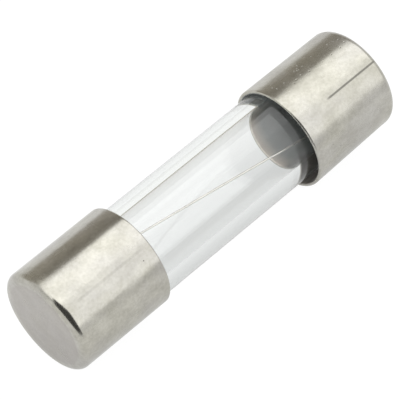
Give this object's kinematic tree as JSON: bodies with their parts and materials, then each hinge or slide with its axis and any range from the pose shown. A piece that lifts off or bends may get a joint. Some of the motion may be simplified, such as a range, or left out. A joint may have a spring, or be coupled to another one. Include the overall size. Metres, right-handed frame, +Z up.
{
  "type": "glass cartridge fuse",
  "caption": "Miniature glass tube fuse with plated end caps and a fine wire strung diagonally through its bore.",
  "frame": {"origin": "the middle of the fuse: halfway between its two end faces, on the glass tube's axis", "axes": "+X along the tube from the left cap to the right cap, +Z up as the fuse lies on a table"},
  "size_m": [0.02, 0.0054, 0.0054],
  "materials": {
    "tube_glass": "clear drawn glass with softened ends",
    "fuse_wire": "bright silver-plated copper wire",
    "cap_plating": "nickel plate on drawn brass, satin with fine scuffs",
    "solder": "dull frozen tin solder"
  },
  "bodies": {
    "root": {"glass_tube": "tube_glass", "fuse_wire": "fuse_wire", "left_end_cap": "cap_plating", "right_end_cap": "cap_plating", "left_solder": "solder", "right_solder": "solder"}
  },
  "joints": []
}
